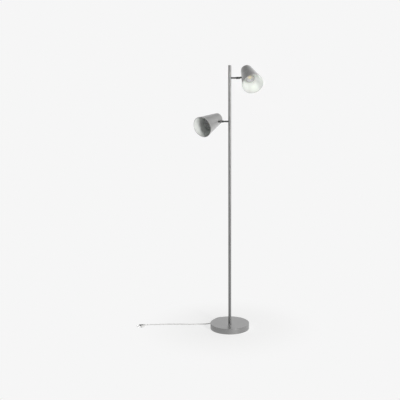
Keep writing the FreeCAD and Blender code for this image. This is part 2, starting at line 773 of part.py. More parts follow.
def build_arm(lamp, side):
    """Arm tube with its journal, and the insert that holds it in the pole."""
    bar = lamp.cylinder("arm_radius", "arm_shoulder - 4", ("4", "0", "0"), ALONG_X)
    pole = lamp.cylinder("pole_radius + 0.05", "30", ("0", "0", "-15"))
    shank = lamp.cut(bar, pole)
    tenon = lamp.cylinder(
        "arm_tenon_radius", "10 - arm_tenon_start", ("arm_tenon_start", "0", "0"), ALONG_X)
    journal = lamp.cylinder(
        "journal_radius", "arm_tip - arm_shoulder + 1", ("arm_shoulder - 1", "0", "0"), ALONG_X)
    groove = lamp.cut(
        lamp.cylinder("journal_radius + 1", "2.8", ("pivot_reach - 13.4", "0", "0"), ALONG_X),
        lamp.cylinder(
            "journal_radius - 0.4", "4", ("pivot_reach - 14", "0", "0"), ALONG_X))
    bore = lamp.cylinder("arm_bore", "50", ("2", "0", "0"), ALONG_X)
    arm = lamp.cut(lamp.fuse(shank, tenon, journal), groove, bore)
    lamp.node(arm, "%s_arm" % side, arm_frame(lamp, side))

    block = lamp.cylinder("core_radius", "insert_height", ("0", "0", "-insert_height / 2"))
    seat = lamp.cylinder("arm_tenon_radius + 0.02", "10", ("0.5", "0", "0"), ALONG_X)
    own = lamp.cylinder("2.1", "insert_height / 2 + 1", ("2.0", "0", "-insert_height / 2 - 1"))
    passing = lamp.cylinder("2.1", "insert_height + 2", ("-2.0", "0", "-insert_height / 2 - 1"))
    insert = lamp.cut(block, seat, own, passing)
    lamp.node(insert, "%s_arm_insert" % side, arm_frame(lamp, side))


# -- the heads -----------------------------------------------------------------------------


def build_knuckle(lamp, side):
    """Yoke, set screw, pivot screw, stem and its nut."""
    yoke_place, stem_place, _ = head_frames(lamp, side)
    barrel = lamp.cylinder("yoke_radius", "yoke_back + 7", ("-yoke_back", "0", "0"), ALONG_X)
    back = lamp.box("yoke_back", "20", "20", ("-yoke_back", "-10", "-10"))
    nose = lamp.cylinder("ear_radius", "20", ("0", "-10", "0"), ALONG_Y)
    form = lamp.common(barrel, lamp.fuse(back, nose))
    slot = lamp.box(
        "yoke_slot_depth + 10", "yoke_slot", "20", ("-yoke_slot_depth", "-yoke_slot / 2", "-10"))
    seat = lamp.cylinder("journal_radius + running_gap", "8", ("-yoke_back", "0", "0"), ALONG_X)
    wire = lamp.cylinder("arm_bore", "4", ("-9", "0", "0"), ALONG_X)
    pivot = lamp.cylinder("pivot_radius + 0.04", "20", ("0", "-10", "0"), ALONG_Y)
    tapped = lamp.cylinder("grub_radius + 0.02", "8", ("-12", "0", "0"))
    yoke = lamp.cut(form, slot, seat, wire, pivot, tapped)
    lamp.node(yoke, "%s_swivel_yoke" % side, yoke_place)

    grub = lamp.cut(
        lamp.cylinder("grub_radius", "3.0", ("-12", "0", "2.85")),
        lamp.cylinder("grub_radius * 0.5", "1.6", ("-12", "0", "4.4")))
    lamp.node(grub, "%s_swivel_grub" % side, yoke_place)

    shank = lamp.cylinder("pivot_radius", "12.2", ("0", "-6.1", "0"), ALONG_Y)
    head = lamp.cylinder(
        "pivot_head_radius", "pivot_head_thick", ("0", "-6 - pivot_head_thick", "0"), ALONG_Y)
    drive = lamp.box(
        "pivot_head_radius * 2 + 1", "0.8", "1.0",
        ("-pivot_head_radius - 0.5", "-6 - pivot_head_thick", "-0.5"))
    lamp.node(lamp.cut(lamp.fuse(shank, head), drive), "%s_pivot_screw" % side, yoke_place)

    eye = lamp.cylinder("tongue_radius", "tongue_thick", ("0", "-tongue_thick / 2", "0"), ALONG_Y)
    web = lamp.box(
        "collar_start + 0.4", "tongue_thick", "collar_radius * 1.7",
        ("0", "-tongue_thick / 2", "-collar_radius * 0.85"))
    collar = lamp.cylinder(
        "collar_radius", "stem_gap - 0.25 - collar_start", ("collar_start", "0", "0"), ALONG_X)
    thread = lamp.cylinder(
        "stem_radius", "stem_tip - stem_gap + 1", ("stem_gap - 1", "0", "0"), ALONG_X)
    wire = lamp.cylinder("stem_bore", "20", ("6.4", "0", "0"), ALONG_X)
    pivot = lamp.cylinder("pivot_radius + running_gap", "10", ("0", "-5", "0"), ALONG_Y)
    stem = lamp.cut(lamp.fuse(eye, web, collar, thread), wire, pivot)
    lamp.node(stem, "%s_stem" % side, stem_place)

    nut = lamp.hexagon("6.2", "4.6", "stem_radius", ("0", "0", "0"))
    onward = Placement(Vector(lamp.value("stem_gap + shade_wall + 0.9"), 0, 0), ALONG_X)
    lamp.node(nut, "%s_stem_nut" % side, stem_place * onward)


def build_shade(lamp, side):
    """Conical shade, open at the front, with its switch and button at the rear."""
    _, _, place = head_frames(lamp, side)
    slope = "(shade_mouth - shade_back) / shade_length"
    shade = lamp.revolved((
        ("switch_neck + 0.1", "0"),
        ("shade_back", "0"),
        ("shade_mouth", "shade_length"),
        ("shade_mouth - shade_wall", "shade_length"),
        ("shade_back - shade_wall + %s * shade_wall" % slope, "shade_wall"),
        ("switch_neck + 0.1", "shade_wall"),
    ))
    back = lamp.value("shade_back")

    def rear_edge(edge):
        box = edge.BoundBox
        return abs(box.ZMax) < 0.01 and abs(box.XMax - back) < 0.01

    lamp.round_edges(shade, "shade_edge * 0.5", rear_edge)
    lean = math.degrees(shade_lean(lamp))
    station = lamp.value("stem_station")
    wall = back + math.tan(math.radians(lean)) * station
    hole = lamp.cylinder("stem_radius + running_gap", "24")
    direction = Vector(-math.cos(math.radians(lean)), 0, math.sin(math.radians(lean)))
    origin = Vector(wall, 0, station) - direction * 8
    hole.Placement = Placement(origin, Rotation(Vector(0, 0, 1), direction))
    lamp.node(lamp.cut(shade, hole), "%s_shade" % side, place)

    sheet = "bracket_sheet"
    bracket = lamp.padded((
        ("-bracket_leg", "shade_wall + 0.05"),
        ("9", "shade_wall + 0.05"),
        ("9", "shade_wall + 0.05 + " + sheet),
        ("-bracket_leg + " + sheet, "shade_wall + 0.05 + " + sheet),
        ("-bracket_leg + " + sheet, "bracket_top - " + sheet),
        ("14", "bracket_top - " + sheet),
        ("14", "bracket_top"),
        ("-bracket_leg", "bracket_top"),
    ), "bracket_width", "XZ_Plane", True)
    neck = lamp.cylinder("switch_neck + 0.1", "4", ("0", "0", "0"))
    screw_a = lamp.cylinder("1.3", "4", ("10.3", "0", "bracket_top - 3"))
    screw_b = lamp.cylinder("1.3", "4", ("-10.3", "0", "bracket_top - 3"))
    lamp.node(lamp.cut(bracket, neck, screw_a, screw_b), "%s_holder_bracket" % side, place)

    rear = "shade_wall + 0.1 + bracket_sheet"
    switch = lamp.revolved((
        ("button_radius + running_gap", "-neck_out"),
        ("switch_neck", "-neck_out"),
        ("switch_neck", rear),
        ("switch_radius", rear),
        ("switch_radius", "switch_deep"),
        ("0", "switch_deep"),
        ("0", "11"),
        ("button_radius + running_gap", "11"),
    ))
    lamp.node(switch, "%s_switch_body" % side, place)
    ring = lamp.revolved((
        ("switch_neck + 0.02", "-0.05"),
        ("ring_radius", "-0.05"),
        ("ring_radius", "-ring_thick + 0.4"),
        ("ring_radius - 0.4", "-ring_thick"),
        ("switch_neck + 0.02", "-ring_thick"),
    ))
    lamp.node(ring, "%s_switch_nut" % side, place)
    button = lamp.revolved((
        ("0", "-button_out"),
        ("button_radius - 0.7", "-button_out"),
        ("button_radius", "-button_out + 0.7"),
        ("button_radius", "6"),
        ("0", "6"),
    ))
    lamp.node(button, "%s_button" % side, place)

    holder = lamp.box(
        "holder_length", "holder_width", "holder_front - bracket_top - 0.05",
        ("-holder_length / 2", "-holder_width / 2", "bracket_top + 0.05"))
    trim = lamp.cylinder("holder_length / 2 + 0.6", "30", ("0", "0", "20"))
    sockets = [
        lamp.cylinder("2.7", "10", ("5", "0", "holder_front - 9")),
        lamp.cylinder("2.7", "10", ("-5", "0", "holder_front - 9")),
        lamp.cylinder("1.22", "9", ("10.3", "0", "bracket_top - 1")),
        lamp.cylinder("1.22", "9", ("-10.3", "0", "bracket_top - 1")),
    ]
    lamp.node(lamp.cut(lamp.common(holder, trim), *sockets), "%s_lampholder" % side, place)
    screws = []
    for offset in ("10.3", "-10.3"):
        head = lamp.cylinder("2.4", "1.5", (offset, "0", "bracket_top - bracket_sheet - 1.55"))
        shank = lamp.cylinder("1.2", "7.4", (offset, "0", "bracket_top - bracket_sheet - 0.3"))
        slot = lamp.box("6", "0.7", "0.6",
                        (offset + " - 3", "-0.35", "bracket_top - bracket_sheet - 1.6"))
        screws.append(lamp.cut(lamp.fuse(head, shank), slot))
    lamp.node(lamp.group(*screws), "%s_holder_screws" % side, place)


def build_lamp(lamp, side):
    """Reflector lamp with its pins, emitter and front lens."""
    _, _, place = head_frames(lamp, side)
    body = lamp.revolved((
        ("0", "lamp_back"),
        ("12", "lamp_back"),
        ("14", "lamp_back + 2"),
        ("15.5", "lamp_back + 12"),
        ("21", "lamp_back + 27"),
        ("lamp_radius - 0.5", "lamp_back + 38"),
        ("lamp_radius", "lamp_back + 41"),
        ("lamp_radius", "lamp_front - 0.6"),
        ("lamp_radius - 0.6", "lamp_front"),
        ("lamp_radius - 2.6", "lamp_front"),
        ("lamp_radius - 3.2", "lamp_front - 0.6"),
        ("lamp_radius - 3.2", "lamp_front - 4"),
        ("11", "lamp_front - 14"),
        ("0", "lamp_front - 14"),
    ))
    lamp.node(body, "%s_lamp_body" % side, place)
    pins = []
    for offset in ("5", "-5"):
        neck = lamp.cylinder("1.5", "5", (offset, "0", "lamp_back - 4.6"))
        head = lamp.cylinder("2.5", "2.6", (offset, "0", "lamp_back - 7"))
        pins.append(lamp.fuse(neck, head))
    pins_node = lamp.cut(lamp.group(*pins), lamp.box("30", "30", "4", ("-15", "-15", "lamp_back")))
    lamp.node(pins_node, "%s_lamp_pins" % side, place)
    emitter = lamp.revolved((
        ("0", "lamp_front - 13.95"),
        ("10.5", "lamp_front - 13.95"),
        ("10.5", "lamp_front - 12.9"),
        ("9.9", "lamp_front - 12.4"),
        ("0", "lamp_front - 12.4"),
    ))
    lamp.node(emitter, "%s_lamp_emitter" % side, place)
    lens = lamp.revolved((
        ("0", "lamp_front - 3.6"),
        ("lamp_radius - 3.25", "lamp_front - 3.6"),
        ("lamp_radius - 3.25", "lamp_front - 1.5"),
        ("0", "lamp_front - 1.5"),
    ))
    lamp.node(lens, "%s_lamp_lens" % side, place)


# -- the cord ------------------------------------------------------------------------------


def build_cord(lamp):
    """Lead, tied hank, free run and plug."""
    radius = lamp.value("cord_radius")
    lead, run = cord_routes(lamp)
    lead_wire = smooth_route(lead, "cord_lead")
    run_wire = smooth_route(run, "cord_run")
    loops = hank_wire(lamp)
    lamp.shaped(tube(lead_wire, radius), "cord_lead")
    lamp.shaped(tube(loops, radius), "cord_hank")
    lamp.shaped(tube(run_wire, radius), "cord_run")
    print("hank least gap mm: %.2f" % least_gap(loops, 2 * radius))
    total = lead_wire.Length + loops.Length + run_wire.Length
    print("cord lengths mm: lead %.0f hank %.0f run %.0f free total %.0f" % (
        lead_wire.Length, loops.Length, run_wire.Length, total))

    far = "hank_outer - hank_waist + cord_radius + 0.15"
    near = "hank_outer - hank_step - hank_waist + cord_radius + 0.15"
    top = "hank_low + hank_rise + cord_radius + 0.1"
    band = lamp.padded((
        ("-(%s) - tie_thick" % near, "0"),
        ("%s + tie_thick" % far, "0"),
        ("%s + tie_thick" % far, top + " + tie_thick"),
        ("-(%s) - tie_thick" % near, top + " + tie_thick"),
    ), "tie_width", "YZ_Plane", True)

    def long_edge(edge):
        box = edge.BoundBox
        return box.XLength > 1 and box.YLength < 0.01 and box.ZLength < 0.01

    lamp.round_edges(band, "tie_thick + 1.2", long_edge)
    hollow = lamp.padded((
        ("-(%s)" % near, "tie_thick"),
        (far, "tie_thick"),
        (far, top),
        ("-(%s)" % near, top),
    ), "tie_width + 4", "YZ_Plane", True)
    lamp.round_edges(hollow, "1.2", long_edge)
    tie = lamp.cut(band, hollow)
    middle = Vector(lamp.value("hank_centre_x"), lamp.value("hank_centre_y"), 0)
    lamp.node(tie, "hank_tie", Placement(middle, Rotation()))


def build_plug(lamp):
    """Flat two-pin plug with its boot."""
    place = plug_frame(lamp)
    sections = (
        (0.0, 3.4, 3.4),
        (7.0, 4.6, 4.4),
        (12.0, 9.5, 5.6),
        (24.0, lamp.value("plug_width / 2 - 1.2"), lamp.value("plug_thick / 2 - 0.2")),
        (lamp.value("plug_length"), lamp.value("plug_width / 2"), lamp.value("plug_thick / 2")),
    )
    rings = []
    for x, half_y, half_z in sections:
        corner = min(half_z * 0.85, half_y * 0.6)
        rings.append(rounded_ring(x, half_y, half_z, corner))
    body = Part.makeLoft(rings, True, True)
    lamp.shaped(body, "plug_body", place)
    pins = []
    for sign in (-1, 1):
        y = "%d * pin_spacing / 2" % sign
        bar = lamp.cylinder(
            "pin_radius", "pin_length - pin_radius", ("plug_length", y, "0"), ALONG_X)
        tip = lamp.cone(
            "pin_radius", "pin_radius * 0.45", "pin_radius",
            ("plug_length + pin_length - pin_radius", y, "0"), ALONG_X)
        pins.append(lamp.fuse(bar, tip))
    lamp.node(lamp.group(*pins), "plug_pins", place)


def rounded_ring(x, half_y, half_z, corner):
    """Rectangle with rounded corners in a plane across X."""
    edges = []
    inner_y = half_y - corner
    inner_z = half_z - corner
    centres = ((inner_y, inner_z, 0), (-inner_y, inner_z, 90),
               (-inner_y, -inner_z, 180), (inner_y, -inner_z, 270))
    arcs = []
    for y, z, start in centres:
        points = []
        for step in (0, 45, 90):
            angle = math.radians(start + step)
            points.append(Vector(x, y + corner * math.cos(angle), z + corner * math.sin(angle)))
        arcs.append(points)
    for index, points in enumerate(arcs):
        edges.append(Part.Arc(*points).toShape())
        following = arcs[(index + 1) % 4][0]
        if points[2].distanceToPoint(following) > 1e-6:
            edges.append(Part.LineSegment(points[2], following).toShape())
    return Part.Wire(edges)


def check(lamp):
    """Stop on a failed object or a shape that is null or not valid."""
    for item in lamp.doc.Objects:
        if "Invalid" in item.State or "Error" in item.State:
            raise RuntimeError("failed object: %s %s" % (item.Name, item.State))
    for item in lamp.nodes:
        shape = item.Shape
        if shape.isNull() or not shape.isValid() or not shape.Solids:
            raise RuntimeError("bad shape: %s" % item.Label)


def main():
    """Build the lamp, check it and write one STEP file for each node."""
    lamp = Lamp()
    build_base(lamp)
    build_pole(lamp)
    build_cord_entry(lamp)
    for side in ("upper", "lower"):
        build_arm(lamp, side)
        build_knuckle(lamp, side)
        build_shade(lamp, side)
        build_lamp(lamp, side)
    build_cord(lamp)
    build_plug(lamp)
    lamp.doc.recompute()
    check(lamp)
    os.makedirs(OUT_DIR, exist_ok=True)
    for item in lamp.nodes:
        item.Shape.exportStep(os.path.join(OUT_DIR, item.Label + ".step"))
    print("%d nodes, %d solids" % (len(lamp.nodes), sum(len(n.Shape.Solids) for n in lamp.nodes)))


main()
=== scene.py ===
"""Looks of a two-head floor lamp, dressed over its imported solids.

The script loads the fixed frame, lays the mains cord, rolls the edge of each shade, gives every
node a procedural finish, and sets up the studio and the camera.
"""

import json
import logging
import math
from dataclasses import dataclass, field
from enum import Enum
from typing import Iterable, Optional

import bmesh
import bpy
from mathutils import Matrix, Vector


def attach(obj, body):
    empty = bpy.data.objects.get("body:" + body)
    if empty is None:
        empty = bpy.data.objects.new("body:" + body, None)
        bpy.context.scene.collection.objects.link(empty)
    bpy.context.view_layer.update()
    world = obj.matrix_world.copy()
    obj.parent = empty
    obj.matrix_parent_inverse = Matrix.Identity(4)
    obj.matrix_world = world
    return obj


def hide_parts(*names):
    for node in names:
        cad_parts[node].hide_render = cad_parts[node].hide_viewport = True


logging.basicConfig(level=logging.INFO, format="%(levelname)s %(message)s")
LOG = logging.getLogger("lamp")

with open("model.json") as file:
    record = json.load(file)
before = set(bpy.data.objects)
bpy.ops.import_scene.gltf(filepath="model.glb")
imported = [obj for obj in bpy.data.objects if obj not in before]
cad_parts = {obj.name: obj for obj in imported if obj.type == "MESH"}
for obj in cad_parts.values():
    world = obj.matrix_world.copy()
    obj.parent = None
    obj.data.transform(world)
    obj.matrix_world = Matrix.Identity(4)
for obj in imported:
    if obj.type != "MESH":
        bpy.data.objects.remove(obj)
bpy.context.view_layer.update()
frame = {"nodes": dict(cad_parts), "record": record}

MM = 0.001
MERGE_WITHIN = 0.001 * MM
PLAIN_DETAIL = 2.0
CLOUD_DETAIL = 4.0


class Side(Enum):
    """The two reading heads."""

    UPPER = "upper"
    LOWER = "lower"


class Sum(Enum):
    """Arithmetic on numbers in a shader."""

    ADD = "ADD"
    SUBTRACT = "SUBTRACT"
    MULTIPLY = "MULTIPLY"
    LESS = "LESS_THAN"
    GREATER = "GREATER_THAN"


class Arrow(Enum):
    """Arithmetic on vectors in a shader."""

    SUBTRACT = "SUBTRACT"
    MULTIPLY = "MULTIPLY"
    SCALE = "SCALE"
    DOT = "DOT_PRODUCT"
    LENGTH = "LENGTH"


# -- shader graphs -------------------------------------------------------------------------


class Value:
    """A shader socket on which Python's arithmetic adds Math nodes."""

    def __init__(self, graph: "Graph", socket: bpy.types.NodeSocket) -> None:
        """Keep the graph and the socket."""
        self.graph = graph
        self.socket = socket

    def _sum(self, kind: Sum, first: object, second: object) -> "Value":
        """Add a Math node.

        Args:
            kind: What it does.
            first: Its first number or socket.
            second: Its second number or socket.

        Returns:
            Its result.
        """
        node = self.graph.node("ShaderNodeMath", {"operation": kind.value},
                               {0: first, 1: second})
        return Value(self.graph, node.outputs[0])

    def __add__(self, other: object) -> "Value":
        """self + other."""
        return self._sum(Sum.ADD, self, other)

    def __radd__(self, other: object) -> "Value":
        """other + self."""
        return self._sum(Sum.ADD, other, self)

    def __sub__(self, other: object) -> "Value":
        """self - other."""
        return self._sum(Sum.SUBTRACT, self, other)

    def __rsub__(self, other: object) -> "Value":
        """other - self."""
        return self._sum(Sum.SUBTRACT, other, self)

    def __mul__(self, other: object) -> "Value":
        """self * other."""
        return self._sum(Sum.MULTIPLY, self, other)

    def __rmul__(self, other: object) -> "Value":
        """other * self."""
        return self._sum(Sum.MULTIPLY, other, self)

    def __lt__(self, other: object) -> "Value":
        """1 where self is less than other."""
        return self._sum(Sum.LESS, self, other)

    def __gt__(self, other: object) -> "Value":
        """1 where self is more than other."""
        return self._sum(Sum.GREATER, self, other)


class Graph:
    """A node tree, with short ways to add to it."""

    def __init__(self, tree: bpy.types.NodeTree) -> None:
        """Keep the tree."""
        self.tree = tree

    def node(self, kind: str, settings: Optional[dict] = None,
             sockets: Optional[dict] = None) -> bpy.types.Node:
        """Add a node.

        Args:
            kind: Its type.
            settings: Its own settings, which are set first.
            sockets: Value or link of each input, by name or number.

        Returns:
            The node.
        """
        made = self.tree.nodes.new(kind)
        for key, value in (settings or {}).items():
            setattr(made, key, value)
        for key, source in (sockets or {}).items():
            self.feed(made.inputs[key], source)
        return made

    def feed(self, target: bpy.types.NodeSocket, source: object) -> None:
        """Link a socket, or set its constant.

        Args:
            target: Input socket.
            source: A Value, an output socket, or a constant.
        """
        if isinstance(source, Value):
            source = source.socket
        if isinstance(source, bpy.types.NodeSocket):
            self.tree.links.new(source, target)
        else:
            target.default_value = source

    def arrow(self, kind: Arrow, first: object, second: object = None,
              scale: object = None) -> Value:
        """Vector arithmetic.

        Args:
            kind: What it does.
            first: First vector.
            second: Second vector, if there is one.
            scale: Factor, where the vector is scaled.

        Returns:
            The vector, or the number of a dot product or a length.
        """
        sockets = {0: first}
        if second is not None:
            sockets[1] = second
        if scale is not None:
            sockets["Scale"] = scale
        node = self.node("ShaderNodeVectorMath", {"operation": kind.value}, sockets)
        number = kind in (Arrow.DOT, Arrow.LENGTH)
        return Value(self, node.outputs["Value" if number else "Vector"])

    def step(self, value: object, start: float, end: float,
             low: float = 0.0, high: float = 1.0) -> Value:
        """A soft step.

        Args:
            value: What is read.
            start: Where the step starts, at low.
            end: Where it ends, at high.
            low: Result at the start.
            high: Result at the end.

        Returns:
            The stepped number.
        """
        node = self.node("ShaderNodeMapRange", {"interpolation_type": "SMOOTHSTEP"},
                         {"Value": value, "From Min": start, "From Max": end,
                          "To Min": low, "To Max": high})
        return Value(self, node.outputs[0])

    def mix(self, factor: Value, first: object, second: object) -> Value:
        """Blend two colours.

        Args:
            factor: 0 for the first, 1 for the second.
            first: Colour or socket.
            second: Colour or socket.

        Returns:
            The blended colour.
        """
        node = self.node("ShaderNodeMix", {"data_type": "RGBA"},
                         {0: factor, 6: first, 7: second})
        return Value(self, node.outputs[2])

    def seen(self, share: Value, least: float) -> Value:
        """Where the background's own tone shows: to the camera, and in metal and glass.

        Args:
            share: How much of it a reflection shows there, 0 to 1.
            least: The least that a reflection shows anywhere.

        Returns:
            Factor of a Mix Shader.
        """
        path = self.node("ShaderNodeLightPath")
        mirrored = (Value(self, path.outputs["Is Glossy Ray"])
                    + Value(self, path.outputs["Is Transmission Ray"]))
        never_less = share * (1.0 - least) + least
        return Value(self, path.outputs["Is Camera Ray"]) + mirrored * never_less


class Surface(Graph):
    """A material's graph, with its Principled surface and the object's coordinates."""

    def __init__(self, name: str) -> None:
        """Make the material.

        Args:
            name: Its name.
        """
        self.material = bpy.data.materials.new(name)
        self.material.use_nodes = True
        super().__init__(self.material.node_tree)
        self.shader = self.tree.nodes["Principled BSDF"]
        self.place = self.node("ShaderNodeTexCoord").outputs["Object"]

    def set(self, name: str, source: object) -> None:
        """Give the surface an input.

        Args:
            name: Input of the Principled surface.
            source: A Value or a constant.
        """
        self.feed(self.shader.inputs[name], source)

    def noise(self, scale: float, detail: float = 3.0,
              stretch: tuple = (1.0, 1.0, 1.0)) -> Value:
        """Noise on the object's own coordinates.

        Args:
            scale: Cells per metre.
            detail: Octaves.
            stretch: Factor along each axis, to draw the grain out.

        Returns:
            The noise, 0 to 1.
        """
        node = self.node("ShaderNodeTexNoise", sockets={
            "Vector": self.arrow(Arrow.MULTIPLY, self.place, stretch),
            "Scale": scale, "Detail": detail})
        return Value(self, node.outputs[0])

    def bump(self, height: Value, depth: float, strength: float = 1.0) -> None:
        """Raise the surface by a height map.

        Args:
            height: Map, 0 to 1.
            depth: Height of a full step, in metres.
            strength: Share of the effect.
        """
        node = self.node("ShaderNodeBump", sockets={
            "Strength": strength, "Distance": depth, "Height": height})
        self.set("Normal", node.outputs[0])


def grey(level: float, warm: float = 0.0) -> tuple:
    """A near neutral colour.

    Args:
        level: Linear brightness.
        warm: Shift to yellow.

    Returns:
        Colour with alpha.
    """
    return (level * (1 + warm), level, level * (1 - warm), 1.0)


# -- finishes ------------------------------------------------------------------------------


@dataclass(frozen=True)
class Finish:
    """A plain finish: two tones, smudged gloss, and a grain in the surface."""

    dark: tuple
    light: tuple
    mottle: float = 40.0
    roughness: tuple = (0.4, 0.5)
    smudge: float = 25.0
    metallic: float = 0.0
    coat: float = 0.0
    grain: float = 1500.0
    stretch: tuple = (1.0, 1.0, 1.0)
    depth: float = 0.00002
    detail: float = 3.0
    ior: float = 1.5

    def make(self, name: str) -> bpy.types.Material:
        """Build the material.

        Args:
            name: Its name.

        Returns:
            The material.
        """
        surface = Surface(name)
        cloud = surface.noise(self.mottle, CLOUD_DETAIL)
        surface.set("Base Color", surface.mix(cloud, self.dark, self.light))
        low, high = self.roughness
        surface.set("Roughness", surface.noise(self.smudge) * (high - low) + low)
        surface.set("Metallic", self.metallic)
        surface.set("Coat Weight", self.coat)
        surface.set("IOR", self.ior)
        surface.bump(surface.noise(self.grain, self.detail, self.stretch), self.depth)
        return surface.material


@dataclass(frozen=True)
class Paint:
    """Glossy powder paint with a faint orange peel: grey, and white inside a shade."""

    outside: tuple = (grey(0.385), grey(0.415, 0.004))
    inside: tuple = ((0.82, 0.84, 0.82, 1.0), (0.87, 0.89, 0.87, 1.0))
    mottle: float = 22.0
    roughness: tuple = (0.23, 0.30)
    inside_rougher: float = 0.24
    smudge: float = 35.0
    coat: float = 0.55
    coat_roughness: float = 0.07
    peel: float = 420.0
    fine_peel: float = 1700.0
    fine_share: float = 0.3
    depth: float = 0.00009
    strength: float = 0.5

    def make(self, name: str, head: Optional["ReadingHead"] = None) -> bpy.types.Material:
        """Build the paint.

        Args:
            name: Its name.
            head: The head whose shade is white inside, if there is one.

        Returns:
            The material.
        """
        surface = Surface(name)
        cloud = surface.noise(self.mottle, CLOUD_DETAIL)
        colour = surface.mix(cloud, *self.outside)
        low, high = self.roughness
        roughness = surface.noise(self.smudge) * (high - low) + low
        surface.set("Coat Weight", self.coat)
        surface.set("Coat Roughness", self.coat_roughness)
        if head is not None:
            inside = head.inside(surface)
            colour = surface.mix(inside, colour, surface.mix(cloud, *self.inside))
            roughness = roughness + inside * self.inside_rougher
        surface.set("Base Color", colour)
        surface.set("Roughness", roughness)
        peel = (surface.noise(self.peel, PLAIN_DETAIL) * (1.0 - self.fine_share)
                + surface.noise(self.fine_peel, PLAIN_DETAIL) * self.fine_share)
        surface.bump(peel, self.depth, self.strength)
        return surface.material


@dataclass(frozen=True)
class LampFront:
    """Clear moulded front of a reflector lamp, with its dimples."""

    cells: float = 330.0
    unevenness: float = 0.25
    clear: tuple = grey(0.50, -0.01)
    cloudy: tuple = grey(0.42, -0.01)
    roughness: tuple = (0.08, 0.20)
    alpha: float = 0.34
    ior: float = 1.49
    depth: float = 0.0006

    def make(self, name: str) -> bpy.types.Material:
        """Build the material.

        Args:
            name: Its name.

        Returns:
            The material.
        """
        surface = Surface(name)
        cells = surface.node("ShaderNodeTexVoronoi", sockets={
            "Vector": surface.place, "Scale": self.cells, "Randomness": self.unevenness})
        bulge = Value(surface, cells.outputs[0])
        surface.set("Base Color", surface.mix(bulge, self.clear, self.cloudy))
        low, high = self.roughness
        surface.set("Roughness", bulge * (high - low) + low)
        surface.set("Alpha", self.alpha)
        surface.set("IOR", self.ior)
        surface.bump(bulge, self.depth)
        return surface.material


@dataclass(frozen=True)
class Phosphor:
    """Unlit yellow light source of a lamp."""

    deep: tuple = (0.55, 0.42, 0.06, 1.0)
    pale: tuple = (0.62, 0.52, 0.14, 1.0)
    mottle: float = 260.0
    roughness: tuple = (0.4, 0.6)
    smudge: float = 120.0
    grain: float = 1500.0
    depth: float = 0.0001

    def make(self, name: str) -> bpy.types.Material:
        """Build the material.

        Args:
            name: Its name.

        Returns:
            The material.
        """
        surface = Surface(name)
        cloud = surface.noise(self.mottle)
        surface.set("Base Color", surface.mix(cloud, self.deep, self.pale))
        low, high = self.roughness
        surface.set("Roughness", surface.noise(self.smudge) * (high - low) + low)
        surface.bump(surface.noise(self.grain), self.depth)
        return surface.material


LONG_GRAIN = (1.0, 1.0, 0.012)
RECIPES = {
    "satin_metal": Finish(grey(0.23), grey(0.29), 14.0, (0.32, 0.42), 30.0, 1.0,
                          grain=900.0, stretch=LONG_GRAIN, depth=0.000012),
    "base_metal": Finish(grey(0.32), grey(0.38), 14.0, (0.28, 0.36), 30.0, 1.0,
                         grain=900.0, depth=0.000008),
    "lamp_shell": Finish(grey(0.30), grey(0.36), 60.0, (0.3, 0.4), 60.0, 0.8,
                         grain=900.0),
    # Arms, yokes and stems: polished metal given a dark base colour. This is partly painted
    # shade, standing in for the dark room that these parts reflect.
    "dark_and_shaded_metal": Finish(grey(0.12), grey(0.16), 60.0, (0.13, 0.20), 80.0, 1.0,
                         grain=900.0, stretch=(0.02, 1.0, 1.0), depth=0.000012),
    "cast_weight": Finish(grey(0.035), grey(0.085), 60.0, (0.62, 0.8), 90.0, 0.6,
                          grain=420.0, depth=0.0003, detail=6.0),
    "zinc_plate": Finish(grey(0.45), grey(0.62, 0.02), 90.0, (0.28, 0.45), 120.0, 1.0,
                         grain=900.0),
    "pin_metal": Finish(grey(0.78), grey(0.88), 60.0, (0.24, 0.36), 90.0, 1.0,
                        grain=1400.0, stretch=(0.05, 0.05, 1.0), depth=0.00001),
    "foot_rubber": Finish(grey(0.02), grey(0.035), 150.0, (0.75, 0.9), 80.0,
                          grain=2600.0, depth=0.00005),
    "cord_plastic": Finish(grey(0.80, 0.005), grey(0.87, 0.01), 55.0, (0.42, 0.55), 60.0,
                           grain=2400.0, ior=1.46),
    "plug_plastic": Finish(grey(0.88, 0.004), grey(0.93, 0.006), 60.0, (0.35, 0.5), 60.0,
                           grain=2200.0, depth=0.00003),
    "wire_plastic": Finish(grey(0.58), grey(0.66), 70.0, smudge=60.0, grain=2600.0),
    "tie_plastic": Finish(grey(0.66), grey(0.74), 90.0, (0.38, 0.5), 60.0,
                          grain=600.0, stretch=(1.0, 0.05, 0.05), depth=0.00008),
    "white_plastic": Finish(grey(0.72, 0.01), grey(0.80, 0.015), 35.0, (0.3, 0.42), 50.0,
                            grain=1800.0, depth=0.00003),
    "ceramic": Finish(grey(0.66, 0.03), grey(0.76, 0.035), 45.0, (0.18, 0.3), 40.0,
                      coat=0.4, grain=700.0, depth=0.00008),
    "grey_paint": Paint(),
    "lamp_glass": LampFront(),
    "emitter": Phosphor(),
}


class Wardrobe:
    """Every finish of the lamp, made once and given to its nodes."""

    def __init__(self, recipes: dict) -> None:
        """Make the finishes.

        Args:
            recipes: Recipe of each finish, by its material slot.
        """
        self.made = {name: recipe.make(name) for name, recipe in recipes.items()}

    def dress(self, nodes: Iterable[str], special: Optional[dict] = None) -> None:
        """Give carried-over nodes the finish of their material slots.

        Args:
            nodes: Their names.
            special: Material of a node that differs from its slot.
        """
        wanted = set(nodes)
        for row in frame["record"]["subparts"]:
            name = row["node"]
            if name not in wanted:
                continue
            material = (special or {}).get(name, self.made[row["material_slot"]])
            item = frame["nodes"][name]
            if not item.material_slots:
                item.data.materials.append(material)
            for slot in item.material_slots:
                slot.link = "OBJECT"
                slot.material = material
            LOG.info("%s: %s", name, material.name)


def all_nodes() -> list:
    """Names of all nodes in the record."""
    return [row["node"] for row in frame["record"]["subparts"]]


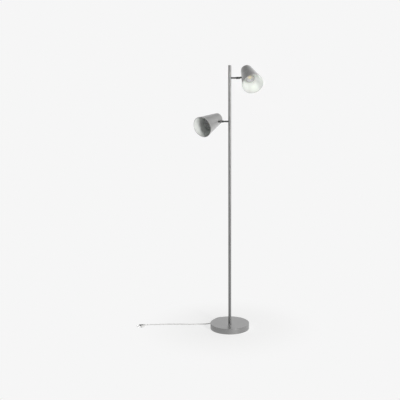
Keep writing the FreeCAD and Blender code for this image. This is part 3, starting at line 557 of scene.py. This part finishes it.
def add_piece(name: str, mesh: bmesh.types.BMesh, material: bpy.types.Material,
              body: str) -> bpy.types.Object:
    """Turn a mesh into a smooth piece that rides on a body.

    Args:
        name: Name of the piece.
        mesh: Its geometry in the lamp's frame; freed here.
        material: Its finish.
        body: CAD body that it moves with.

    Returns:
        The piece.
    """
    bmesh.ops.remove_doubles(mesh, verts=mesh.verts, dist=MERGE_WITHIN)
    bmesh.ops.recalc_face_normals(mesh, faces=mesh.faces)
    for face in mesh.faces:
        face.smooth = True
    data = bpy.data.meshes.new(name)
    mesh.to_mesh(data)
    mesh.free()
    data.materials.append(material)
    piece = bpy.data.objects.new(name, data)
    bpy.context.scene.collection.objects.link(piece)
    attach(piece, body)
    LOG.info("%s: %s, on %s", name, material.name, body)
    return piece


# -- mains cord ----------------------------------------------------------------------------


@dataclass(frozen=True)
class Hank:
    """The tied hank behind the base, as in the part's source, in millimetres."""

    middle: tuple = (-5.0, 135.2)
    half: float = 38.5
    outer: float = 26.2
    step: float = 2.9
    waist: float = 6.0
    low: float = 3.5
    rise: float = 5.5
    runs: int = 9
    stations: tuple = ((-0.72, 0.0), (-0.28, 1.0), (0.28, 1.0), (0.72, 0.0))
    end_points: int = 5

    def width(self, number: int) -> float:
        """Distance of a run from the middle line.

        Args:
            number: Which run.

        Returns:
            Millimetres.
        """
        climb = self.runs // 2
        return self.outer - self.step * (climb - abs(number - climb))

    def at(self, x: float, y: float, z: float) -> tuple:
        """A point measured from the hank's middle."""
        return (self.middle[0] + x, self.middle[1] + y, z)

    def points(self) -> list:
        """Control points of all the turns, first on a run and then round its end.

        Returns:
            Points in millimetres.
        """
        found = []
        climb = self.runs // 2
        for number in range(self.runs):
            sign = 1 if number % 2 == 0 else -1
            way = -sign
            width = self.width(number)
            first = self.low + (self.rise if number > climb else 0.0)
            last = self.low + (self.rise if number >= climb else 0.0)
            for share, tied in self.stations:
                level = first + (last - first) * (share + 1) / 2
                found.append(self.at(way * self.half * share,
                                     sign * (width - self.waist * tied), level))
            if number < self.runs - 1:
                found += self.end(width, self.width(number + 1), way, sign, last)
        return found

    def end(self, width: float, following: float, way: int, sign: int, level: float) -> list:
        """Points round one end of the hank, equally spaced on their half turn.

        Args:
            width: Distance of this run from the middle line.
            following: Distance of the next run.
            way: Which end, -1 or 1.
            sign: Side that this run is on, -1 or 1.
            level: Height.

        Returns:
            Points in millimetres.
        """
        centre = sign * (width - following) / 2
        lap = math.pi / self.end_points
        reach = (width + following) / 2 / math.cos(lap / 2)
        found = []
        for step in range(self.end_points):
            angle = lap * (step + 0.5)
            found.append(self.at(way * (self.half + reach * math.sin(angle)),
                                 centre + sign * reach * math.cos(angle), level))
        return found


@dataclass(frozen=True)
class MainsCord:
    """The mains cord as it lies: lead, tied hank, run over the floor, and plug.

    Its sizes are in millimetres. The lead and the run repeat the route in the part's source.
    """

    radius: float = 2.5
    length: float = 1790.0
    exit_angle: float = math.radians(58.5)
    exit_height: float = 10.3
    exit_reach: float = 134.0
    straight: float = 15.5
    plug_entry: Vector = field(default_factory=lambda: Vector((-484.4, 31.1, 7.0)))
    plug_way: Vector = field(default_factory=lambda: Vector((-49.5, -23.9, 0.0)).normalized())
    plug_straight: float = 20.0
    round_steps: int = 5
    line_steps: int = 8
    hank: Hank = field(default_factory=Hank)
    lead: tuple = (
        (79.0, 141.6, 6.8), (70.4, 155.0, 4.6), (54.0, 161.4, 3.5), (33.5, 161.4, 3.5),
    )
    run: tuple = (
        (-43.5, 161.4, 9.0), (-59.5, 161.4, 9.0), (-79.0, 151.2, 7.2), (-92.0, 134.8, 4.6),
        (-99.0, 116.0, 3.0), (-102.6, 96.0, 2.5), (-110.0, 78.6, 2.5), (-124.0, 66.4, 2.5),
        (-146.0, 62.2, 2.5), (-184.0, 59.8, 2.5), (-232.0, 57.8, 2.5), (-294.0, 59.6, 2.5),
        (-352.0, 60.0, 2.5), (-404.0, 56.0, 2.5), (-443.0, 48.4, 3.6),
    )
    solids: tuple = ("cord_lead", "cord_hank", "cord_run")
    carried: tuple = ("plug_body", "plug_pins", "hank_tie")
    fixed: tuple = ("cord_grommet", "cord_tail")

    def exit_point(self, reach: float) -> tuple:
        """Point on the line along which the cord leaves the base.

        Args:
            reach: Distance from the pole's axis.

        Returns:
            The point.
        """
        return (reach * math.cos(self.exit_angle), reach * math.sin(self.exit_angle),
                self.exit_height)

    def route(self) -> list:
        """Control points of the whole cord, from the strain relief to the plug."""
        return [self.exit_point(self.exit_reach),
                self.exit_point(self.exit_reach + self.straight),
                *self.lead, *self.hank.points(), *self.run,
                tuple(self.plug_entry - self.plug_way * self.plug_straight),
                tuple(self.plug_entry)]

    def build(self) -> bpy.types.Object:
        """Lay the cord.

        Returns:
            The cord.
        """
        route = self.route()
        curve = bpy.data.curves.new("mains_cord", "CURVE")
        curve.dimensions = "3D"
        curve.bevel_depth = self.radius * MM
        curve.bevel_resolution = self.round_steps
        curve.resolution_u = self.line_steps
        curve.use_fill_caps = True
        spline = curve.splines.new("NURBS")
        spline.points.add(len(route) - 1)
        for point, spot in zip(spline.points, route):
            point.co = (spot[0] * MM, spot[1] * MM, spot[2] * MM, 1.0)
        spline.order_u = 3
        spline.use_endpoint_u = True
        cord = bpy.data.objects.new("mains_cord", curve)
        bpy.context.scene.collection.objects.link(cord)
        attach(cord, "stand")
        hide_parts(*self.solids)
        LOG.info("mains_cord: %d control points, on stand", len(route))
        return cord

    def dress(self, cord: bpy.types.Object, wardrobe: Wardrobe) -> None:
        """Give the cord and what is on it their finishes.

        Args:
            cord: The cord.
            wardrobe: The finishes.
        """
        cord.data.materials.append(wardrobe.made["cord_plastic"])
        wardrobe.dress(self.solids + self.carried + self.fixed,
                       {"plug_body": wardrobe.made["plug_plastic"]})


# -- stand and heads -----------------------------------------------------------------------


@dataclass(frozen=True)
class ReadingHead:
    """One reading head, from its arm to its lamp and switch, in metres."""

    side: Side
    rear: Vector
    axis: Vector
    length: float = 148 * MM
    back_radius: float = 31.3 * MM
    mouth_radius: float = 58 * MM
    wall: float = 1.2 * MM
    paint_line: float = 0.6
    bead: float = 0.85 * MM
    bead_back: float = 0.5 * MM
    bead_in: float = 0.75 * MM
    bead_sides: int = 12
    bead_steps: int = 128
    # These parts take the dark metal, which is partly painted shade.
    dark: tuple = ("arm", "swivel_yoke", "stem")

    def nodes(self) -> list:
        """Names of this head's nodes."""
        return [name for name in all_nodes() if name.startswith(self.side.value + "_")]

    def inside(self, surface: Surface) -> Value:
        """Find the inside of the shade.

        Args:
            surface: Graph of the paint.

        Returns:
            1 on the inside, 0 on the outside.
        """
        away = surface.arrow(Arrow.SUBTRACT, surface.place, self.rear)
        along = surface.arrow(Arrow.DOT, away, self.axis)
        aside = surface.arrow(Arrow.SUBTRACT, away,
                              surface.arrow(Arrow.SCALE, self.axis, scale=along))
        radius = surface.arrow(Arrow.LENGTH, aside)
        slope = (self.mouth_radius - self.back_radius) / self.length
        depth = self.paint_line * self.wall
        return (radius < along * slope + (self.back_radius - depth)) * (along > depth)

    def build(self, material: bpy.types.Material) -> bpy.types.Object:
        """Roll the edge round the opening: a small circle spun about the shade's axis.

        Args:
            material: Its paint.

        Returns:
            The rolled edge.
        """
        centre = self.rear + self.axis * (self.length - self.bead_back)
        out = self.axis.orthogonal().normalized()
        spot = centre + out * (self.mouth_radius - self.bead_in)
        turned = Matrix((out, self.axis, out.cross(self.axis))).transposed().to_4x4()
        mesh = bmesh.new()
        bmesh.ops.create_circle(mesh, segments=self.bead_sides, radius=self.bead,
                                matrix=Matrix.Translation(spot) @ turned)
        bmesh.ops.spin(mesh, geom=mesh.verts[:] + mesh.edges[:], cent=centre, axis=self.axis,
                       angle=2 * math.pi, steps=self.bead_steps, use_merge=True,
                       use_duplicate=False)
        return add_piece("%s_rolled_edge" % self.side.value, mesh, material,
                         "%s_head" % self.side.value)

    def dress(self, wardrobe: Wardrobe) -> None:
        """Give the head's nodes their finishes.

        Args:
            wardrobe: The finishes.
        """
        name = self.side.value
        special = {"%s_%s" % (name, piece): wardrobe.made["dark_and_shaded_metal"] for piece in self.dark}
        special[name + "_lamp_body"] = wardrobe.made["lamp_shell"]
        special[name + "_shade"] = RECIPES["grey_paint"].make(name + "_shade_paint", self)
        wardrobe.dress(self.nodes(), special)


@dataclass(frozen=True)
class Stand:
    """Base, pole and what is inside them; their sizes are those of the solids."""

    prefixes: tuple = ("base_", "pole_", "plate_", "terminal_")

    def dress(self, wardrobe: Wardrobe) -> None:
        """Give the stand's nodes their finishes.

        Args:
            wardrobe: The finishes.
        """
        wardrobe.dress((name for name in all_nodes() if name.startswith(self.prefixes)),
                       {"base_cover": wardrobe.made["base_metal"]})


HEADS = (
    ReadingHead(Side.UPPER, Vector((0.09104, 0.046948, 1.470674)),
                Vector((0.215627, -0.875042, -0.433365))),
    ReadingHead(Side.LOWER, Vector((-0.065976, 0.071758, 1.201119)),
                Vector((-0.569119, -0.792048, -0.220825))),
)


# -- studio --------------------------------------------------------------------------------


@dataclass(frozen=True)
class SoftLight:
    """One soft light: a lit rectangle."""

    name: str
    place: tuple
    target: tuple
    size: tuple
    power: float
    tint: tuple = (1.0, 1.0, 1.0)
    spread: float = 180.0

    def build(self) -> bpy.types.Object:
        """Hang the light.

        Returns:
            The light.
        """
        data = bpy.data.lights.new(self.name, "AREA")
        data.shape = "RECTANGLE"
        data.size, data.size_y = self.size
        data.spread = math.radians(self.spread)
        data.energy = self.power
        data.color = self.tint
        light = bpy.data.objects.new(self.name, data)
        light.location = self.place
        light.rotation_mode = "QUATERNION"
        aim = Vector(self.target) - Vector(self.place)
        light.rotation_quaternion = aim.to_track_quat("-Z", "Y")
        light.visible_camera = False
        bpy.context.scene.collection.objects.link(light)
        return light


@dataclass(frozen=True)
class Studio:
    """Camera, lights, pale floor and backdrop; metres."""

    lens: float = 85.0
    sensor: float = 36.0
    shift: float = -0.0744
    camera_place: tuple = (0.0, -5.1586, 1.8496)
    camera_tilt: float = 77.998
    lights: tuple = (
        SoftLight("key", (2.6, -4.1, 1.6), (0.0, 0.0, 0.95), (0.9, 3.0), 172.0,
                  (1.0, 1.0, 0.985)),
        SoftLight("inside", (0.62, -2.2, 0.45), (0.13, -0.08, 1.41), (0.05, 0.05), 0.105,
                  (1.0, 1.0, 0.99), 5.0),
    )
    backdrop: float = 0.922
    view_depth: float = 200.0
    back_fade: tuple = (-0.15, 0.65)
    mirror_back: tuple = (-0.1, 0.4)
    room_dim: float = 0.14
    room_bright: float = 1.25
    left_dim: float = 0.30
    left_fade: tuple = (-0.9, 0.2)
    ceiling: float = 0.14
    ceiling_fade: tuple = (0.28, 0.78)
    floor_near: float = 0.42
    floor_far: float = 0.0
    floor_taken: float = 0.47
    floor_glow: float = 0.922
    floor_lit: float = 0.30
    floor_fill: float = 0.34
    floor_roughness: tuple = (0.90, 0.95)
    floor_smudge: float = 8.0
    floor_size: float = 30.0
    floor_squares: int = 8
    floor_drop: float = 0.2 * MM
    shadow_reach: tuple = (0.55, 0.16)
    mirror_least: float = 0.35
    mirror_front: tuple = (-0.6, 0.15)
    mirror_left: tuple = (-0.30, 0.10)

    def build_camera(self) -> bpy.types.Object:
        """Set the camera at the photograph's viewing angle.

        Returns:
            The camera.
        """
        data = bpy.data.cameras.new("camera")
        data.lens = self.lens
        data.sensor_width = self.sensor
        data.shift_x = self.shift
        data.clip_end = self.view_depth
        camera = bpy.data.objects.new("camera", data)
        camera.location = self.camera_place
        camera.rotation_euler = (math.radians(self.camera_tilt), 0.0, 0.0)
        bpy.context.scene.collection.objects.link(camera)
        bpy.context.scene.camera = camera
        return camera

    def build_world(self) -> bpy.types.World:
        """Put a pale backdrop behind the lamp, and a dim room in front of it.

        Returns:
            The world.
        """
        world = bpy.data.worlds.new("studio_world")
        bpy.context.scene.world = world
        world.use_nodes = True
        graph = Graph(world.node_tree)
        graph.tree.nodes.clear()
        around = graph.node("ShaderNodeTexCoord")
        way = graph.node("ShaderNodeSeparateXYZ", sockets={0: around.outputs["Generated"]})
        across, back, up = (way.outputs[name] for name in "XYZ")
        lit = graph.step(across, *self.left_fade, self.left_dim, 1.0)
        strength = (lit * graph.step(back, *self.back_fade, self.room_dim, self.room_bright)
                    * graph.step(up, *self.ceiling_fade, 1.0, self.ceiling))
        room = graph.node("ShaderNodeBackground",
                          sockets={"Color": grey(1.0), "Strength": strength})
        wall = graph.node("ShaderNodeBackground", sockets={"Color": grey(self.backdrop)})
        share = (graph.step(back, *self.mirror_back)
                 * graph.step(across, *self.left_fade)
                 * graph.step(up, *reversed(self.ceiling_fade)))
        switch = graph.node("ShaderNodeMixShader", sockets={
            0: graph.seen(share, self.mirror_least), 1: room.outputs[0], 2: wall.outputs[0]})
        graph.node("ShaderNodeOutputWorld", sockets={"Surface": switch.outputs[0]})
        return world

    def floor_material(self) -> bpy.types.Material:
        """Pale floor with the backdrop's tone, and the lamp's shadow close to the base.

        Returns:
            The material.
        """
        surface = Surface("studio_floor")
        reach = surface.arrow(Arrow.LENGTH, surface.place)
        close = surface.step(reach, *self.shadow_reach)
        surface.set("Base Color", surface.mix(close, grey(self.floor_far),
                                              grey(self.floor_near)))
        low, high = self.floor_roughness
        surface.set("Roughness", surface.noise(self.floor_smudge) * (high - low) + low)
        surface.set("Specular IOR Level", 0.0)
        taken = (self.floor_near - self.floor_far) * self.floor_taken / self.floor_glow
        surface.set("Emission Color", surface.mix(close, grey(1.0), grey(1.0 - taken)))
        surface.set("Emission Strength", self.floor_glow)
        lit = surface.node("ShaderNodeBsdfDiffuse", sockets={"Color": grey(self.floor_lit)})
        fill = surface.node("ShaderNodeEmission", sockets={"Strength": self.floor_fill})
        both = surface.node("ShaderNodeAddShader",
                            sockets={0: lit.outputs[0], 1: fill.outputs[0]})
        place = surface.node("ShaderNodeSeparateXYZ", sockets={0: surface.place})
        share = (surface.step(place.outputs["Y"], *self.mirror_front)
                 * surface.step(place.outputs["X"], *self.mirror_left))
        switch = surface.node("ShaderNodeMixShader", sockets={
            0: surface.seen(share, self.mirror_least),
            1: both.outputs[0], 2: surface.shader.outputs[0]})
        surface.feed(surface.tree.nodes["Material Output"].inputs[0], switch.outputs[0])
        return surface.material

    def build_floor(self) -> bpy.types.Object:
        """Lay the floor.

        Returns:
            The floor.
        """
        mesh = bmesh.new()
        bmesh.ops.create_grid(mesh, x_segments=self.floor_squares,
                              y_segments=self.floor_squares, size=self.floor_size)
        data = bpy.data.meshes.new("studio_floor")
        mesh.to_mesh(data)
        mesh.free()
        data.materials.append(self.floor_material())
        floor = bpy.data.objects.new("studio_floor", data)
        floor.location = (0.0, 0.0, -self.floor_drop)
        bpy.context.scene.collection.objects.link(floor)
        return floor

    def build(self) -> None:
        """Set up the floor, the lights and the world."""
        self.build_floor()
        for light in self.lights:
            light.build()
        self.build_world()
        bpy.context.scene.view_settings.view_transform = "Standard"


def main() -> None:
    """Build the lamp and its studio."""
    studio = Studio()
    studio.build_camera()
    mains = MainsCord()
    cord = mains.build()
    wardrobe = Wardrobe(RECIPES)
    mains.dress(cord, wardrobe)
    Stand().dress(wardrobe)
    for head in HEADS:
        head.build(wardrobe.made["grey_paint"])
        head.dress(wardrobe)
    studio.build()


if __name__ == "__main__":
    main()
